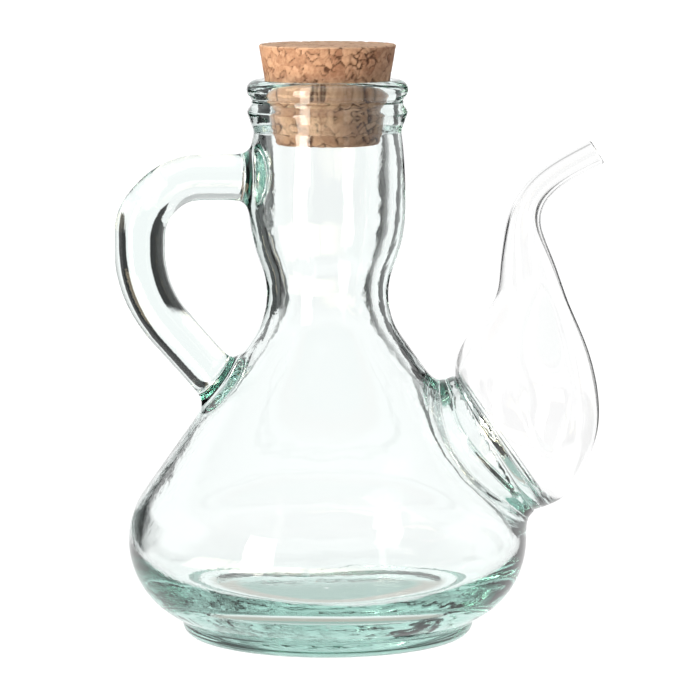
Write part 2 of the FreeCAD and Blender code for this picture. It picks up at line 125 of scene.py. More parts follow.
# Looks
GREEN_TINT, GREEN_DEPTH = (0.48, 0.78, 0.71), 16
CLEAR_TINT, CLEAR_DEPTH = (0.80, 0.88, 0.86), 10
CORK_DARK, CORK_MIDDLE = (0.27, 0.130, 0.074, 1), (0.44, 0.255, 0.157, 1)
CORK_PALE, CORK_SEAM = (0.60, 0.39, 0.26, 1), (0.10, 0.040, 0.020, 1)

# Camera, in metres and degrees
CAMERA_PLACE, CAMERA_DROP, SENSOR, LENS = (0.0066, -1.180, 0.230), 7.02, 36, 207.1

# Studio, in metres and degrees. Wall: angle from straight behind the bottle (right is
# positive), brightness, warmth
WALL_GLOW = np.array([
    (-180, 0.25, 0), (-149, 0.25, 0), (-148, 13, 0.35), (-131, 13, 0.35), (-130, 0.25, 0),
    (-100, 0.25, 0), (-92, 0.9, 0), (-66, 1.1, 0), (-63, 0.03, 0), (-23, 0.03, 0), (-21, 1.08, 0),
    (16, 1.08, 0), (18, 0.03, 0), (36, 0.03, 0), (38, 1.1, 0), (92, 0.9, 0), (110, 0.3, 0),
    (146, 0.3, 0), (147, 1.6, 0.3), (150, 1.6, 0.3), (151, 0.25, 0), (180, 0.25, 0)])
# Reflector lying in front of the bottle: panes of warm light by the same angle
REFLECTOR = np.array([
    (-180, 3, 1), (-171, 3, 1), (-170, 1, 1), (-168, 1, 1), (-167, 4, 1), (-150, 4, 1),
    (-149, 1.5, 1), (-148, 9, 0.5), (-131, 9, 0.5), (-130, 1, 1), (-127, 4, 1), (-126, 1.5, 1),
    (-124, 1.5, 1), (-123, 4, 1), (-104, 4, 1), (-100, 0.03, 0), (100, 0.03, 0), (105, 0.5, 0),
    (150, 0.5, 0), (160, 1, 1), (180, 3, 1)])
REFLECTOR_NEAR, REFLECTOR_FAR = 0.17, 0.5
# How much red, green and blue a fully warm light lacks
WARM_LACK = [0, 0.16, 0.42]
BACK_LIGHT, SEEN_WHITE = 1.16, 1.08
STUDIO_RADIUS, STUDIO_HEIGHT, STUDIO_COLUMNS, HUB = 2.4, 2.6, 360, 0.001
WALL_DROP, FLOOR_DROP = 0.0005, 0.0007
# Table: its rings, the white sweep as wide as the view, and where the dark cards start
TABLE_RADIUS = 0.115
TABLE_RINGS = (0.125, 0.14, 0.16, 0.18, 0.2, 0.22, 0.25, 0.28, 0.31,
               0.35, 0.4, 0.45, 0.49, 0.52, 0.8, STUDIO_RADIUS)
SWEEP_SLOPE, SWEEP_MARGIN, SWEEP_FRONT, SWEEP_BACK_ANGLE = 0.09, 0.03, -0.13, 17
LEFT_CARDS, RIGHT_CARDS, CARDS_FRONT = 0.13, 0.21, -0.05
# Painted shadow under the bottle: teal in the middle as if lit through the green glass, then grey
PAINTED_SHADOW_RADIUS, PAINTED_SHADOW_TEAL, PAINTED_SHADOW_GREY = 0.0355, (0.36, 0.52, 0.47), (0.56, 0.51, 0.46)
# Dark cards on the wall: the low ones end at FLAG_HEIGHT, the right-hand ones at TALL_FLAG
FLAG_HEIGHT, FLAG_EDGE, TALL_FLAG, WALL_TOP = 0.45, 1.15, 1.3, 1.5
# Ceiling: a bright round light in a dimmer ring
CEILING_LIGHT, CEILING_EDGE = 1.0, 1.2
CEILING_GLOW, CEILING_RING_GLOW, HIGH_WALL_GLOW, OPEN_WALL_GLOW = 1.6, 0.7, 0.55, 0.95


def tangent_angle():
    """Angle of the shoulder line's outward normal: the line touches belly and waist arcs."""
    across = WAIST_RADIUS + WAIST_ROUND - BELLY_CENTRE
    up = WAIST_HEIGHT - BELLY_HEIGHT
    reach = math.hypot(across, up)
    return math.atan2(up, across) - math.acos((BELLY_ROUND + WAIST_ROUND) / reach)


def half_width(height, wall):
    """Radius at each height of the outside (wall 0) or of the hollow one wall further in.

    Foot and belly are arcs, the shoulder is the line that touches the belly's and the waist's
    arcs, the waist is a hollow arc and the neck two arcs that share the bulge's widest point.
    """
    side = tangent_angle()
    gap = WAIST_RADIUS + WAIST_ROUND - BULGE_RADIUS
    rise = BULGE_HEIGHT - WAIST_HEIGHT
    bulge_round = (gap**2 + rise**2 - WAIST_ROUND**2) / (2 * (WAIST_ROUND - gap))
    drop = NECK_HEIGHT - BULGE_HEIGHT
    narrowing = BULGE_RADIUS - NECK_RADIUS
    neck_round = (drop**2 + narrowing**2) / (2 * narrowing)

    def arc(centre, middle, radius, bow):
        return centre + bow * np.sqrt(np.maximum(radius**2 - (height - middle) ** 2, 0))

    foot = arc(FOOT_CENTRE, FOOT_ROUND, FOOT_ROUND, 1)
    belly = arc(BELLY_CENTRE, BELLY_HEIGHT, BELLY_ROUND - wall, 1)
    line = (BELLY_CENTRE * math.cos(side) + (BELLY_HEIGHT - height) * math.sin(side)
            + BELLY_ROUND - wall) / math.cos(side)
    waist = arc(WAIST_RADIUS + WAIST_ROUND, WAIST_HEIGHT, WAIST_ROUND + wall, -1)
    bulge = arc(BULGE_RADIUS - bulge_round, BULGE_HEIGHT, bulge_round - wall, 1)
    neck = arc(BULGE_RADIUS - neck_round, BULGE_HEIGHT, neck_round - wall, 1)
    lean = math.atan2(rise, gap + bulge_round)
    foot_top = FOOT_TOP if wall == 0 else -math.inf
    steps = [height < foot_top,
             height < BELLY_HEIGHT + (BELLY_ROUND - wall) * math.sin(side),
             height < WAIST_HEIGHT - (WAIST_ROUND + wall) * math.sin(side),
             height < WAIST_HEIGHT + (WAIST_ROUND + wall) * math.sin(lean),
             height < BULGE_HEIGHT]
    return np.select(steps, [foot, belly, line, waist, bulge], neck)


def lip_width(height):
    """Radius of the lip: a flare up to a thin ring's edge, a hollow, then a fat rounded ring."""
    middle = LIP_HEIGHT - LIP_ROUND
    ring = LIP_RADIUS - LIP_ROUND + np.sqrt(
        np.maximum(LIP_ROUND**2 - (height - LIP_HEIGHT + LIP_ROUND) ** 2, 0))
    edges = np.interp(height, [NECK_HEIGHT, COLLAR_HEIGHT, HOLLOW_HEIGHT],
                      [NECK_RADIUS, COLLAR_RADIUS, HOLLOW_RADIUS])
    ring_start = middle - math.sqrt(LIP_ROUND**2 - (LIP_ROUND + HOLLOW_RADIUS - LIP_RADIUS) ** 2)
    return np.where(height < ring_start, edges, np.maximum(ring, LIP_RADIUS - LIP_ROUND))


def cork_width(height):
    """Radius of the cork's straight taper."""
    return CORK_RADIUS - (CORK_TOP - height) * CORK_TAPER


def bore_width(height):
    """Radius of the bore: it narrows from the neck to the throat, then opens on the taper."""
    throat = cork_width(THROAT_HEIGHT) + SEAT_GAP
    narrowing = np.interp(height, [BORE_HEIGHT, THROAT_HEIGHT], [BORE_RADIUS, throat])
    return np.where(height < THROAT_HEIGHT, narrowing, cork_width(height) + SEAT_GAP)


def softened(heights, widths, reach):
    """A profile with its corners rounded: a bell-weighted mean of the radii at near heights.

    The bell is as wide as reach and is cut off three reaches away.
    """
    step = heights[1] - heights[0]
    half = int(3 * reach / step)
    span = np.arange(-half, half + 1) * step
    bell = np.exp(-0.5 * (span / reach) ** 2)
    padded = np.pad(widths, half, mode="edge")
    return np.convolve(padded, bell / bell.sum(), mode="valid")


PROFILE_SPARE, PROFILE_STEP, OUTSIDE_SOFT, INSIDE_SOFT = 8, 0.1, 0.4, 0.8
PROFILE_HEIGHTS = np.arange(-PROFILE_SPARE, LIP_HEIGHT + PROFILE_SPARE, PROFILE_STEP)
OUTSIDE = softened(PROFILE_HEIGHTS,
                   np.where(PROFILE_HEIGHTS < NECK_HEIGHT, half_width(PROFILE_HEIGHTS, 0),
                            lip_width(PROFILE_HEIGHTS)), OUTSIDE_SOFT)
INSIDE = softened(PROFILE_HEIGHTS,
                  np.where(PROFILE_HEIGHTS < BORE_HEIGHT, half_width(PROFILE_HEIGHTS, WALL),
                           bore_width(PROFILE_HEIGHTS)), INSIDE_SOFT)
OUTSIDE_SLOPE = np.gradient(OUTSIDE, PROFILE_HEIGHTS)
INSIDE_SLOPE = np.gradient(INSIDE, PROFILE_HEIGHTS)


def melt(first, second, reach):
    """Union of two fields that run into each other in a hollow fillet about reach wide."""
    near = np.maximum(reach - np.abs(first - second), 0) / reach
    return np.minimum(first, second) - near**3 * reach / 6


def trim(first, second, reach):
    """Common part of two fields, with the edge between them rounded over about reach."""
    return -melt(-first, -second, reach)


def waves(turn, height, seed, count, longest, shortest):
    """Even ripples of height about 1: sines that run round and along, each with its own pitch."""
    chance = np.random.default_rng(seed)
    total = 0
    for number in range(count):
        pitch = longest * (shortest / longest) ** chance.random()
        rounds = chance.integers(1, 9)
        phase, drift = chance.random(2) * 2 * math.pi
        total = total + np.sin(rounds * turn + phase) * np.cos(2 * math.pi * height / pitch + drift)
    return total * math.sqrt(2 / count)


def floor_waves(x, y):
    """Ripples of the thick base: crossing sines, bent by slower ones, as chilled glass sets."""
    bend = 2.6 * np.sin(x / 11 + 0.7) + 2.0 * np.cos(y / 8 - 0.4) + 1.2 * np.sin((x + y) / 6)
    level_waves = np.sin(1.55 * (y + bend) + 0.20 * x)
    slanted_waves = 0.8 * np.sin(1.1 * (x * 0.45 + y) - 1.4 * bend + 1.1)
    short_waves = 0.7 * np.sin(1.9 * y - 0.6 * x + bend + 2.0)
    return level_waves + slanted_waves + short_waves


def far_left(x, y, least):
    """How strongly the base is rippled, least to 1: most on the handle's side, at the back."""
    return np.clip(0.4 - x / 50 + y / 60, least, 1)


def handle_distance(x, z):
    """Distance in the handle's plane from the rod's middle line.

    The line leaves the neck level, turns down through an arc, drops, turns in through a wide arc
    and runs straight to the shoulder. The distance is the least of those to its five parts.
    """
    slope = math.radians(HANDLE_SLOPE)
    bend_x, bend_z = -HANDLE_REACH + HANDLE_BEND, HANDLE_HEIGHT - HANDLE_BEND
    sweep_x, sweep_z = -HANDLE_REACH + HANDLE_SWEEP, HANDLE_DROP
    turn = math.pi + math.pi / 2 - slope
    end_x, end_z = sweep_x + HANDLE_SWEEP * math.cos(turn), sweep_z + HANDLE_SWEEP * math.sin(turn)

    def run(x0, z0, x1, z1):
        length = math.hypot(x1 - x0, z1 - z0)
        along = np.clip(((x - x0) * (x1 - x0) + (z - z0) * (z1 - z0)) / length**2, 0, 1)
        return np.hypot(x - x0 - along * (x1 - x0), z - z0 - along * (z1 - z0))

    def bow(x0, z0, radius, low, high):
        angle = np.mod(np.arctan2(z - z0, x - x0), 2 * math.pi)
        angle = np.clip(angle, low, high)
        return np.hypot(x - x0 - radius * np.cos(angle), z - z0 - radius * np.sin(angle))

    parts = [run(-HANDLE_ROOT, HANDLE_HEIGHT, bend_x, HANDLE_HEIGHT),
             bow(bend_x, bend_z, HANDLE_BEND, math.pi / 2, math.pi),
             run(-HANDLE_REACH, bend_z, -HANDLE_REACH, sweep_z),
             bow(sweep_x, sweep_z, HANDLE_SWEEP, math.pi, turn),
             run(end_x, end_z, end_x + HANDLE_RUN * math.cos(slope),
                 end_z - HANDLE_RUN * math.sin(slope))]
    return np.minimum.reduce(parts)


def port_place(x, y, z):
    """How far a point lies along the spout's slanted axis from the collar's face, and off it."""
    along = (x - PORT_X) * math.cos(PORT_TILT) + (z - PORT_Z) * math.sin(PORT_TILT)
    off = (x - PORT_X) * math.sin(PORT_TILT) - (z - PORT_Z) * math.cos(PORT_TILT)
    return along, np.hypot(off, y)


def outer_form(x, y, z):
    """Field of the bottle as if it were solid: below zero inside.

    The turned and rippled profile, the handle's rod and the spout's collar are melted together.
    The dome under the foot and the lip's top are trimmed off. Ripples fade at the lip and foot.
    """
    away = np.hypot(x, y)
    turn = np.arctan2(y, x)
    outside = np.interp(z, PROFILE_HEIGHTS, OUTSIDE)
    slope = np.interp(z, PROFILE_HEIGHTS, OUTSIDE_SLOPE)
    fade = np.clip((LIP_HEIGHT - 6 - z) / 8, 0.15, 1) * np.clip(z / 10, 0.1, 1)
    ripple = SKIN_RIPPLE * fade * waves(turn, z, *SKIN_WAVES)
    body = (away - outside - ripple) / np.sqrt(1 + slope**2)

    thick = np.interp(z, ROD_HEIGHTS, ROD_RADII)
    rod_ripple = ROD_RIPPLE * np.sin(z / 6.3 + x / 9) * np.cos(y / 5)
    rod = np.hypot(handle_distance(x, z), y) - thick - rod_ripple
    along, across = port_place(x, y, z)
    collar = trim(across - PORT_RADIUS, along, COLLAR_EDGE)
    collar = trim(collar, -PORT_DEPTH - along, COLLAR_BACK)

    solid = melt(melt(body, rod, HANDLE_MELT), collar, COLLAR_MELT)
    underside = BASE_RISE * np.clip(1 - (away / (FOOT_CENTRE - FOOT_FLAT)) ** 2, 0, 1)
    solid = trim(solid, underside - z, FOOT_EDGE)
    return trim(solid, z - LIP_HEIGHT - LIP_TRIM, LIP_EDGE)


def inner_form(x, y, z):
    """Field of the empty space in the bottle: below zero in the space.

    The turned hollow is cut off at the rippled floor and joined to the hole under the spout.
    Below the belly's middle it is the inner profile squashed in height, and in the neck it is
    a little narrower than the profile. Its ripples fade out towards the bore.
    """
    away = np.hypot(x, y)
    turn = np.arctan2(y, x)
    low = z < BELLY_HEIGHT
    sunk = np.where(low, BELLY_HEIGHT - (BELLY_HEIGHT - z) * FLOOR_SQUASH, z)
    extra = NECK_EXTRA * np.exp(-((z - NECK_EXTRA_HEIGHT) / NECK_EXTRA_REACH) ** 4)
    inside = np.interp(sunk, PROFILE_HEIGHTS, INSIDE) - extra
    slope = np.interp(sunk, PROFILE_HEIGHTS, INSIDE_SLOPE) * np.where(low, FLOOR_SQUASH, 1)
    fade = np.clip((BORE_HEIGHT - z) / 10, 0, 1)
    ripple = (INNER_RIPPLE * waves(turn, z, *INNER_WAVES)
              + FINE_RIPPLE * waves(turn * FINE_ROUNDS, z, *FINE_WAVES))
    hollow = (away - inside - fade * ripple) / np.sqrt(1 + slope**2)

    ridge = np.exp(-((away - RIDGE_RADIUS) / RIDGE_WIDTH) ** 2)
    floor = (FLOOR_HEIGHT + DISH * (away / RIDGE_RADIUS) ** 2 + RIDGE * ridge
             + FLOOR_RIPPLE * far_left(x, y, 0.15) * floor_waves(x, y))
    hollow = trim(hollow, floor - z, FLOOR_EDGE)
    along, across = port_place(x, y, z)
    hole = trim(across - PORT_HOLE, -along - HOLE_DEPTH, HOLE_EDGE)
    return melt(hollow, hole, HOLE_MELT)


def glass_field(x, y, z):
    """Signed distance, near enough, to the bottle's glass: below zero inside the glass."""
    return trim(outer_form(x, y, z), -inner_form(x, y, z), WALL_EDGE)


def surface_of(field, axes):
    """Closed mesh of the surface where a field is zero, as points, outward normals and quads.

    The box between the three rows of grid lines is cut into cells. Each cell that the surface
    crosses gets one point, the mean of the crossings on its edges, and each grid line piece that
    the surface crosses gets a quad of the four cells round it. The points are then evened out
    and moved along the field's gradient until they lie on the surface.
    """
    slope_step, normal_step, least_slope, longest_move = 0.05, 0.12, 0.05, 0.6
    rounds, moves_before, moves_between = 3, 3, 2
    xs, ys, zs = axes
    value = field(xs[:, None, None], ys[None, :, None], zs[None, None, :])
    inner = value < 0
    corners = [(a, b, c) for a in (0, 1) for b in (0, 1) for c in (0, 1)]
    shape = [len(row) - 1 for row in axes]
    count = sum(inner[a:a + shape[0], b:b + shape[1], c:c + shape[2]].astype(np.int8)
                for a, b, c in corners)
    cells = np.argwhere((count > 0) & (count < len(corners)))
    number = np.full(shape, -1)
    number[tuple(cells.T)] = np.arange(len(cells))

    total, hits = np.zeros((len(cells), 3)), np.zeros(len(cells))
    for first in corners:
        for second in corners:
            if first < second and sum(np.abs(np.subtract(first, second))) == 1:
                low, high = cells + first, cells + second
                at_low, at_high = value[tuple(low.T)], value[tuple(high.T)]
                crossed = (at_low < 0) != (at_high < 0)
                fall = np.where(crossed, at_low - at_high, 1)
                share = np.where(crossed, at_low / fall, 0)[:, None]
                start = np.stack([row[low[:, k]] for k, row in enumerate(axes)], 1)
                stop = np.stack([row[high[:, k]] for k, row in enumerate(axes)], 1)
                total += np.where(crossed[:, None], start + share * (stop - start), 0)
                hits += crossed
    points = total / hits[:, None]

    quads = []
    for axis in range(3):
        one, two = (axis + 1) % 3, (axis + 2) % 3
        size = list(inner.shape)
        low = [slice(0, size[k] - 1) if k == axis else slice(1, size[k] - 1) for k in range(3)]
        high = list(low)
        high[axis] = slice(1, size[axis])
        here, there = inner[tuple(low)], inner[tuple(high)]
        spots = np.argwhere(here != there) + [0 if k == axis else 1 for k in range(3)]
        leaving = here[here != there]
        ring = []
        for back_one, back_two in ((1, 1), (0, 1), (0, 0), (1, 0)):
            cell = spots.copy()
            cell[:, one] -= back_one
            cell[:, two] -= back_two
            ring.append(number[tuple(cell.T)])
        quad = np.stack(ring, 1)
        quads.append(np.where(leaving[:, None], quad, quad[:, ::-1]))
    quads = np.concatenate(quads)

    def gradient(at, step):
        rows = []
        for k in range(3):
            shift = np.zeros(3)
            shift[k] = step
            rows.append(field(*(at + shift).T) - field(*(at - shift).T))
        return np.stack(rows, 1) / (2 * step)

    def settle(at, times):
        for _ in range(times):
            slope = gradient(at, slope_step)
            steep = np.maximum((slope**2).sum(1, keepdims=True), least_slope)
            move = field(*at.T)[:, None] * slope / steep
            at = at - np.clip(move, -longest_move, longest_move)
        return at

    ends = np.concatenate([quads, np.roll(quads, -1, 1)]).reshape(2, -1)
    weight = np.bincount(ends.ravel(), minlength=len(points))
    points = settle(points, moves_before)
    for _ in range(rounds):
        mean = np.stack([np.bincount(ends[0], points[ends[1], k], len(points))
                         + np.bincount(ends[1], points[ends[0], k], len(points))
                         for k in range(3)], 1) / weight[:, None]
        points = settle(0.5 * points + 0.5 * mean, moves_between)
    points = settle(points, moves_between)
    normals = gradient(points, normal_step)
    normals /= np.linalg.norm(normals, axis=1, keepdims=True)
    return points, normals, quads


def smooth_through(steps, values, wanted):
    """Natural cubic spline through the rows of values at the given steps, read at wanted."""
    gaps = np.diff(steps)[:, None]
    rises = np.diff(values, axis=0) / gaps
    count = len(steps)
    system = np.eye(count)
    right = np.zeros_like(values)
    for row in range(1, count - 1):
        before, after = gaps[row - 1, 0], gaps[row, 0]
        system[row, row - 1:row + 2] = before, 2 * (before + after), after
        right[row] = 6 * (rises[row] - rises[row - 1])
    bend = np.linalg.solve(system, right)
    piece = np.clip(np.searchsorted(steps, wanted, side="right") - 1, 0, count - 2)
    gap = gaps[piece]
    low = (steps[piece + 1] - wanted)[:, None] / gap
    high = 1 - low
    return (low * values[piece] + high * values[piece + 1]
            + ((low**3 - low) * bend[piece] + (high**3 - high) * bend[piece + 1]) * gap**2 / 6)


def torus_quads(rows, columns):
    """Quads of a grid that closes on itself both ways."""
    row, column = np.meshgrid(np.arange(rows), np.arange(columns), indexing="ij")
    next_row, next_column = (row + 1) % rows, (column + 1) % columns
    return np.stack([row * columns + column, next_row * columns + column,
                     next_row * columns + next_column, row * columns + next_column],
                    2).reshape(-1, 4)


def tube_quads(rows, columns):
    """Quads of a grid that closes on itself round each row and is open at both ends."""
    row, column = np.meshgrid(np.arange(rows - 1), np.arange(columns), indexing="ij")
    beside = (column + 1) % columns
    return np.stack([row * columns + column, row * columns + beside,
                     (row + 1) * columns + beside, (row + 1) * columns + column],
                    2).reshape(-1, 4)


def spout_shell():
    """Points and quads of the spout: a ring carried along its leaning middle line.

    The section runs up the outside, round the lip, down the inside and round the root, so the
    grid closes both ways. Across the line a point is centre + radius (cos a up-normal + sin a Y).
    The wall is thick where it is melted on and thins to the blown wall within a few millimetres.
    """
    centres = SPOUT_STATIONS[:, :2]
    steps = np.concatenate([[0], np.cumsum(np.hypot(*np.diff(centres, axis=0).T))])
    runs = np.linspace(0, steps[-1], SPOUT_RINGS)
    rows = smooth_through(steps, SPOUT_STATIONS, runs)
    wall = np.interp(rows[:, 3], WALL_RADII, [SPOUT_WALL, THROAT_WALL, BULB_WALL])
    wall += (SPOUT_ROOT_WALL - BULB_WALL) * np.exp(-(runs / SPOUT_ROOT_REACH) ** 2)
    half_turn = np.linspace(-math.pi / 2, math.pi / 2, SPOUT_EDGE_STEPS)[1:-1]

    def band(row, radius, ahead):
        lean = math.radians(row[2])
        centre_x = row[0] + ahead * math.cos(lean)
        centre_z = row[1] + ahead * math.sin(lean)
        return np.stack([centre_x, centre_z, np.full(len(ahead), row[2]), radius], 1)

    tip_radius = rows[-1, 3] - SPOUT_WALL / 2 - SPOUT_WALL / 2 * np.sin(half_turn)
    tip = band(rows[-1], tip_radius, SPOUT_WALL / 2 * np.cos(half_turn))
    root_radius = rows[0, 3] - wall[0] / 2 + wall[0] / 2 * np.sin(half_turn)
    root = band(rows[0], root_radius, -SPOUT_SUNK * np.cos(half_turn))
    inner = rows.copy()
    inner[:, 3] -= wall
    section = np.concatenate([rows, tip, inner[::-1], root])

    lean = np.radians(section[:, 2])[:, None]
    radius = section[:, 3][:, None]
    turn = np.linspace(0, 2 * math.pi, SPOUT_COLUMNS, endpoint=False)[None, :]
    side = radius * np.cos(turn)
    points = np.stack([section[:, :1] - side * np.sin(lean), radius * np.sin(turn),
                       section[:, 1:2] + side * np.cos(lean)], 2).reshape(-1, 3)
    return points, torus_quads(len(section), turn.size)


def cork_form():
    """Points and outward normals of the smooth cork, and how many rows its grid has.

    A path runs out along the foot, round the lower rim, up the taper, round the upper rim and in
    along the top, and is turned about Z. The middles of foot and top are two more points.
    """
    corner = np.linspace(0, math.pi / 2, RIM_STEPS)[1:-1]
    foot_flat, top_flat = cork_width(CORK_FOOT) - CORK_RIM, cork_width(CORK_TOP) - CORK_RIM
    heights = np.linspace(CORK_FOOT + CORK_RIM, CORK_TOP - CORK_RIM, SIDE_ROWS)
    path_radius = np.concatenate([
        np.linspace(FOOT_HUB, foot_flat, FOOT_ROWS), foot_flat + CORK_RIM * np.sin(corner),
        cork_width(heights),
        top_flat + CORK_RIM * np.cos(corner), np.linspace(top_flat, TOP_HUB, TOP_ROWS)])
    path_height = np.concatenate([
        np.full(FOOT_ROWS, CORK_FOOT), CORK_FOOT + CORK_RIM - CORK_RIM * np.cos(corner),
        heights,
        CORK_TOP - CORK_RIM + CORK_RIM * np.sin(corner), np.full(TOP_ROWS, CORK_TOP)])
    slope_radius, slope_height = np.gradient(path_radius), np.gradient(path_height)
    length = np.hypot(slope_radius, slope_height)
    turn = np.linspace(0, 2 * math.pi, CORK_COLUMNS, endpoint=False)[None, :]
    wide, tall = path_radius[:, None], path_height[:, None]
    out, up = (slope_height / length)[:, None], (-slope_radius / length)[:, None]
    points = np.stack([wide * np.cos(turn), wide * np.sin(turn), tall + 0 * turn], 2)
    normals = np.stack([out * np.cos(turn), out * np.sin(turn), up + 0 * turn], 2)
    points = np.concatenate([points.reshape(-1, 3), [[0, 0, CORK_FOOT], [0, 0, CORK_TOP]]])
    normals = np.concatenate([normals.reshape(-1, 3), [[0, 0, -1], [0, 0, 1]]])
    return points, normals, len(path_radius)


def nearest_seeds(points, seeds):
    """Distances from each slightly warped point to its three nearest seeds, and those seeds."""
    warp = 0.45 * np.sin(points[:, [1, 2, 0]] * 1.9 + [0.3, 1.9, 4.0])
    warped = (points + warp) * CRUMB_SQUASH
    middles = seeds * CRUMB_SQUASH
    near, order = [], []
    for part in np.array_split(warped, CRUMB_BATCHES):
        gaps = (part**2).sum(1)[:, None] + (middles**2).sum(1)[None] - 2 * part @ middles.T
        three = np.argpartition(gaps, 2, axis=1)[:, :3]
        far = np.sqrt(np.maximum(np.take_along_axis(gaps, three, 1), 0))
        rank = np.argsort(far, axis=1)
        near.append(np.take_along_axis(far, rank, 1))
        order.append(np.take_along_axis(three, rank, 1))
    return np.concatenate(near), np.concatenate(order)


def pressed_cork():
    """Points, faces and grain of the cork: a taper turned about Z and pitted along its crumbs.

    The crumbs are the cells of scattered seeds. A point sinks where its two nearest seeds are
    almost as near as each other, more along some seams than others, and most where three are.
    With the points and faces come each point's crumb tone with painted light added (0 to 1 for its
    crumb, then lower above the lip as painted darkening and higher on the top as painted light) and
    how deep in a seam it lies (0 to 1).
    """
    points, normals, rows = cork_form()
    chance = np.random.default_rng(CRUMB_SEED)
    scatter = chance.random((CRUMB_COUNT, 3)) * 2 - 1
    seeds = scatter * CRUMB_SPREAD + [0, 0, (CORK_TOP + CORK_FOOT) / 2]
    skin = cork_width(seeds[:, 2]) - np.hypot(seeds[:, 0], seeds[:, 1])
    ends = np.minimum(seeds[:, 2] - CORK_FOOT, CORK_TOP - seeds[:, 2])
    seeds = seeds[(skin > SKIN_OUTER) & (np.minimum(skin, ends) < SKIN_INNER)]
    near, order = nearest_seeds(points, seeds)

    crack = chance.random(len(seeds))
    deep = np.clip(1.9 * (crack[order[:, 0]] + crack[order[:, 1]]) - 1.75, 0.12, 1)
    seam = np.exp(-((near[:, 1] - near[:, 0]) / (0.14 + 0.18 * deep)) ** 2) * deep
    pit = np.exp(-((near[:, 2] - near[:, 0]) / 0.42) ** 2) * np.clip(deep * 1.4, 0.2, 1)
    tone_and_painted_light = chance.random(len(seeds))[order[:, 0]]
    sunk = 0.03 + 0.25 * seam + 0.5 * pit + 0.07 * tone_and_painted_light
    # Painted light: the side above the lip is made darker and the top lighter, as light falls there
    painted_dark_above_lip = np.clip((points[:, 2] - LIP_HEIGHT) / 2, 0, 1)
    painted_top_light = np.clip(2 * normals[:, 2], 0, 1)
    tone_and_painted_light = tone_and_painted_light - 0.42 * painted_dark_above_lip * (1 - painted_top_light) + 0.9 * painted_top_light
    points = points - normals * sunk[:, None]

    spoke = np.arange(CORK_COLUMNS)
    beside = (spoke + 1) % CORK_COLUMNS
    last, middle = (rows - 1) * CORK_COLUMNS, rows * CORK_COLUMNS
    foot = np.stack([np.full(CORK_COLUMNS, middle), beside, spoke], 1)
    top = np.stack([last + spoke, last + beside, np.full(CORK_COLUMNS, middle + 1)], 1)
    faces = tube_quads(rows, CORK_COLUMNS).tolist() + foot.tolist() + top.tolist()
    return points, faces, tone_and_painted_light, np.clip(seam + pit, 0, 1)


def node_material(name):
    """An empty material; returns the material, its tree and a node maker.

    The node maker takes a node's kind, the values of its sockets and its settings.
    """
    material = bpy.data.materials.new(name)
    material.use_nodes = True
    tree = material.node_tree
    tree.nodes.clear()

    def add(kind, sockets=None, **settings):
        node = tree.nodes.new(kind)
        for key, value in settings.items():
            setattr(node, key, value)
        for key, value in (sockets or {}).items():
            node.inputs[key].default_value = value
        return node

    return material, tree, add


def glass(name, tint, strength, chilled=False):
    """Clear melted glass whose colour comes from its depth: the more glass, the deeper the tint.

    Chilled glass also has the fine skin ripples of a mould, as strong as the mesh's own measure.
    """
    material, tree, add = node_material(name)
    output = add("ShaderNodeOutputMaterial")
    surface = add("ShaderNodeBsdfPrincipled", {"Base Color": (1, 1, 1, 1), "Roughness": 0,
                                               "IOR": 1.5, "Transmission Weight": 1})
    depth = add("ShaderNodeVolumeAbsorption", {"Color": (*tint, 1), "Density": strength})
    link = tree.links.new
    if chilled:
        place = add("ShaderNodeTexCoord")
        stretch = add("ShaderNodeMapping", {"Scale": (0.7, 1.1, 1.5)})
        ripple = add("ShaderNodeTexNoise", {"Scale": 420, "Detail": 2, "Distortion": 0.8})
        amount = add("ShaderNodeAttribute", attribute_name="chill")
        skin = add("ShaderNodeBump", {"Distance": 0.00012})
        link(place.outputs["Object"], stretch.inputs["Vector"])
        link(stretch.outputs["Vector"], ripple.inputs["Vector"])
        link(ripple.outputs["Fac"], skin.inputs["Height"])
        link(amount.outputs["Fac"], skin.inputs["Strength"])
        link(skin.outputs["Normal"], surface.inputs["Normal"])
    link(surface.outputs["BSDF"], output.inputs["Surface"])
    link(depth.outputs["Volume"], output.inputs["Volume"])
    return material


def cork_material():
    """Pressed cork: crumbs of several browns with dark seams and pits between them.

    A crumb's brown follows its tone and a fine noise, with painted light on the top and painted
    darkening above the lip; the seam's depth mixes in the dark brown.
    """
    material, tree, add = node_material("pressed cork")
    output = add("ShaderNodeOutputMaterial")
    surface = add("ShaderNodeBsdfPrincipled", {"Roughness": 0.85})
    # Crumb tone with painted light: lighter on the top, darker on the side above the lip
    crumb = add("ShaderNodeAttribute", attribute_name="crumb_tone_and_painted_light")
    seam = add("ShaderNodeAttribute", attribute_name="seam_depth")
    place = add("ShaderNodeTexCoord")
    fleck = add("ShaderNodeTexNoise", {"Scale": 900, "Detail": 4})
    browns = add("ShaderNodeValToRGB")
    browns.color_ramp.elements[0].color = CORK_DARK
    browns.color_ramp.elements[1].color = CORK_PALE
    middle = browns.color_ramp.elements.new(0.45)
    middle.color = CORK_MIDDLE
    blend = add("ShaderNodeMath", {1: 0.55}, operation="MULTIPLY_ADD")
    shift = add("ShaderNodeMath", {1: 0.9, 2: -0.2}, operation="MULTIPLY_ADD")
    dark = add("ShaderNodeMix", {7: CORK_SEAM}, data_type="RGBA")
    bump = add("ShaderNodeBump", {"Strength": 0.35, "Distance": 0.0004})
    link = tree.links.new
    link(place.outputs["Object"], fleck.inputs["Vector"])
    link(fleck.outputs["Fac"], shift.inputs[0])
    link(crumb.outputs["Fac"], blend.inputs[0])
    link(shift.outputs["Value"], blend.inputs[2])
    link(blend.outputs["Value"], browns.inputs["Fac"])
    link(browns.outputs["Color"], dark.inputs[6])
    link(seam.outputs["Fac"], dark.inputs[0])
    link(dark.outputs[2], surface.inputs["Base Color"])
    link(fleck.outputs["Fac"], bump.inputs["Height"])
    link(bump.outputs["Normal"], surface.inputs["Normal"])
    link(surface.outputs["BSDF"], output.inputs["Surface"])
    return material


